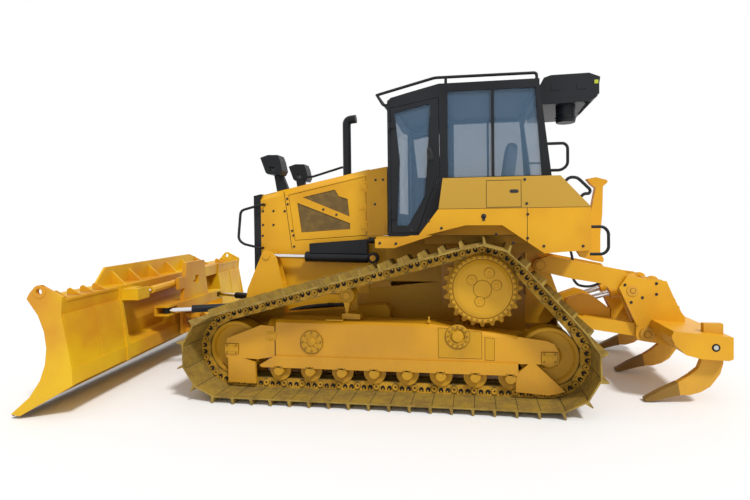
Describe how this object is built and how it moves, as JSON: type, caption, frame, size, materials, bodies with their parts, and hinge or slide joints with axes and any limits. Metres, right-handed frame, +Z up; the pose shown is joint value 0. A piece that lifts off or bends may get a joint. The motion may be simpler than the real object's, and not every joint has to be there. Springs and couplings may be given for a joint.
{
  "type": "crawler bulldozer",
  "caption": "Crawler bulldozer with raised drive sprockets, wide tracks, glazed cab, power-angle-tilt blade on a C-frame and a parallelogram ripper at the rear.",
  "frame": {"origin": "on the ground under the middle of the machine, halfway along its length and width", "axes": "+X forward to the blade, +Y to the left side, +Z up"},
  "size_m": [6.8559, 4.0735, 3.2902],
  "materials": {
    "yellow_paint": "semi-gloss",
    "black_paint": "satin",
    "track_steel": "dull",
    "worn_steel": "worn",
    "chrome": "polished",
    "glass": "clear",
    "seat_cloth": "matt",
    "cab_plastic": "matt"
  },
  "bodies": {
    "tractor": {"main_frame": "yellow_paint", "engine_block": "black_paint", "track_left": "track_steel", "track_right": "track_steel", "sprockets": "track_steel", "rollers": "track_steel", "track_frames": "yellow_paint", "radiator_guard": "black_paint", "radiator_grille": "black_paint", "hood": "yellow_paint", "cowl": "yellow_paint", "exhaust_stack": "black_paint", "front_lamps": "black_paint", "cab_frame": "black_paint", "cab_glass": "glass", "cab_roof": "black_paint", "roof_guard": "black_paint", "cab_floor": "black_paint", "seat": "seat_cloth", "console": "cab_plastic", "aircon_unit": "black_paint", "rear_body": "yellow_paint", "rear_post": "yellow_paint", "grab_rails": "black_paint", "ripper_bracket": "yellow_paint"},
    "engine_door_l": {"engine_door_left": "yellow_paint"},
    "engine_door_r": {"engine_door_right": "yellow_paint"},
    "cab_door_l": {"cab_door_left": "black_paint", "door_glass_left": "glass"},
    "cab_door_r": {"cab_door_right": "black_paint", "door_glass_right": "glass"},
    "lift_frame_body": {"lift_frame": "yellow_paint"},
    "lift_barrels_body": {"lift_barrels": "black_paint"},
    "lift_rods_body": {"lift_rods": "chrome"},
    "blade_mount_body": {"blade_mount": "yellow_paint"},
    "blade_body": {"blade": "yellow_paint", "cutting_edge": "worn_steel"},
    "angle_barrel_l": {"angle_barrel_left": "black_paint"},
    "angle_barrel_r": {"angle_barrel_right": "black_paint"},
    "angle_rod_l": {"angle_rod_left": "chrome"},
    "angle_rod_r": {"angle_rod_right": "chrome"},
    "tilt_barrel_body": {"tilt_barrel": "yellow_paint"},
    "tilt_rod_body": {"tilt_rod": "chrome"},
    "ripper_lower": {"ripper_lower_link": "yellow_paint"},
    "ripper_upper": {"ripper_upper_link": "yellow_paint"},
    "ripper_beam_body": {"ripper_beam": "yellow_paint", "ripper_shanks": "worn_steel", "ripper_tips": "worn_steel"},
    "ripper_barrels_body": {"ripper_barrels": "yellow_paint"},
    "ripper_rods_body": {"ripper_rods": "chrome"}
  },
  "joints": [
    {"name": "lift", "type": "hinge", "parent": "tractor", "child": "lift_frame_body", "pos_m": [-0.083, 0, 0.72], "axis": [0, -1, 0], "range_deg": [-9, 19]},
    {"name": "lift_barrel_turn", "type": "hinge", "parent": "tractor", "child": "lift_barrels_body", "pos_m": [-0.002, 0.562, 1.342], "axis": [0, -1, 0], "range_deg": [-10.71, 22.06]},
    {"name": "lift_rod_slide", "type": "slide", "parent": "lift_barrels_body", "child": "lift_rods_body", "axis": [0.9997, 0, 0.0235], "range_m": [-0.2071, 0.0997]},
    {"name": "blade_angle", "type": "hinge", "parent": "lift_frame_body", "child": "blade_mount_body", "pos_m": [2.502, 0, 0.47], "axis": [0, 0, 1], "range_deg": [-28.8, 17.2]},
    {"name": "angle_barrel_left_turn", "type": "hinge", "parent": "lift_frame_body", "child": "angle_barrel_l", "pos_m": [1.657, 0.33, 0.74], "axis": [0, 0, 1], "range_deg": [-8.54, 5.3]},
    {"name": "angle_rod_left_slide", "type": "slide", "parent": "angle_barrel_l", "child": "angle_rod_l", "axis": [0.9197, 0.3925, 0], "range_m": [-0.1869, 0.3109]},
    {"name": "angle_barrel_right_turn", "type": "hinge", "parent": "lift_frame_body", "child": "angle_barrel_r", "pos_m": [1.657, -0.33, 0.74], "axis": [0, 0, 1], "range_deg": [-8.64, 5.36]},
    {"name": "angle_rod_right_slide", "type": "slide", "parent": "angle_barrel_r", "child": "angle_rod_r", "axis": [0.9405, -0.3397, 0], "range_m": [-0.3129, 0.1881]},
    {"name": "blade_tilt", "type": "hinge", "parent": "blade_mount_body", "child": "blade_body", "pos_m": [2.502, 0, 0.47], "axis": [0.9949, 0.1011, 0], "range_deg": [-5.1, 6.9]},
    {"name": "tilt_barrel_turn", "type": "hinge", "parent": "blade_mount_body", "child": "tilt_barrel_body", "pos_m": [2.54319, 0.38614, 1.02], "axis": [0.9949, 0.1011, 0], "range_deg": [-8.45, 11.25]},
    {"name": "tilt_rod_slide", "type": "slide", "parent": "tilt_barrel_body", "child": "tilt_rod_body", "axis": [-0.101, 0.9946, -0.0244], "range_m": [-0.0679, 0.0509]},
    {"name": "ripper_lift", "type": "hinge", "parent": "tractor", "child": "ripper_lower", "pos_m": [-1.954, 0, 0.809], "axis": [0, 1, 0], "range_deg": [-16, 28]},
    {"name": "ripper_upper_turn", "type": "hinge", "parent": "tractor", "child": "ripper_upper", "pos_m": [-1.807, 0, 1.26], "axis": [0, 1, 0], "range_deg": [-16.5, 28.5]},
    {"name": "ripper_beam_turn", "type": "hinge", "parent": "ripper_lower", "child": "ripper_beam_body", "pos_m": [-2.875, 0, 0.549], "axis": [0, 1, 0], "range_deg": [-28.5, 16.5]},
    {"name": "ripper_barrel_turn", "type": "hinge", "parent": "ripper_beam_body", "child": "ripper_barrels_body", "pos_m": [-3.033, 0, 1.062], "axis": [0, 1, 0], "range_deg": [-9.92, 16.99]},
    {"name": "ripper_rod_slide", "type": "slide", "parent": "ripper_barrels_body", "child": "ripper_rods_body", "axis": [0.9599, 0, -0.2805], "range_m": [-0.1217, 0.2107]},
    {"name": "engine_door_left_hinge", "type": "hinge", "parent": "tractor", "child": "engine_door_l", "pos_m": [0.091, 0.464, 1.8], "axis": [0, 0, -1], "range_deg": [-90, 0]},
    {"name": "engine_door_right_hinge", "type": "hinge", "parent": "tractor", "child": "engine_door_r", "pos_m": [0.091, -0.464, 1.8], "axis": [0, 0, 1], "range_deg": [-90, 0]},
    {"name": "cab_door_left_hinge", "type": "hinge", "parent": "tractor", "child": "cab_door_l", "pos_m": [-0.243, 0.844, 2.2], "axis": [0, 0, 1], "range_deg": [-80, 0]},
    {"name": "cab_door_right_hinge", "type": "hinge", "parent": "tractor", "child": "cab_door_r", "pos_m": [-0.243, -0.844, 2.2], "axis": [0, 0, -1], "range_deg": [-80, 0]}
  ],
  "couplings": [
    {"joint": "lift_barrel_turn", "follows": "lift", "ratio": 1.1347},
    {"joint": "lift_rod_slide", "follows": "lift", "m_per_rad": -0.6155},
    {"joint": "angle_barrel_left_turn", "follows": "blade_angle", "ratio": 0.279},
    {"joint": "angle_rod_left_slide", "follows": "blade_angle", "m_per_rad": -0.6126},
    {"joint": "angle_barrel_right_turn", "follows": "blade_angle", "ratio": 0.2827},
    {"joint": "angle_rod_right_slide", "follows": "blade_angle", "m_per_rad": 0.6165},
    {"joint": "tilt_barrel_turn", "follows": "blade_tilt", "ratio": 1.5579},
    {"joint": "tilt_rod_slide", "follows": "blade_tilt", "m_per_rad": -0.5386},
    {"joint": "ripper_upper_turn", "follows": "ripper_lift", "ratio": 1},
    {"joint": "ripper_beam_turn", "follows": "ripper_lift", "ratio": -1},
    {"joint": "ripper_barrel_turn", "follows": "ripper_lift", "ratio": 0.589},
    {"joint": "ripper_rod_slide", "follows": "ripper_lift", "m_per_rad": 0.4251}
  ]
}
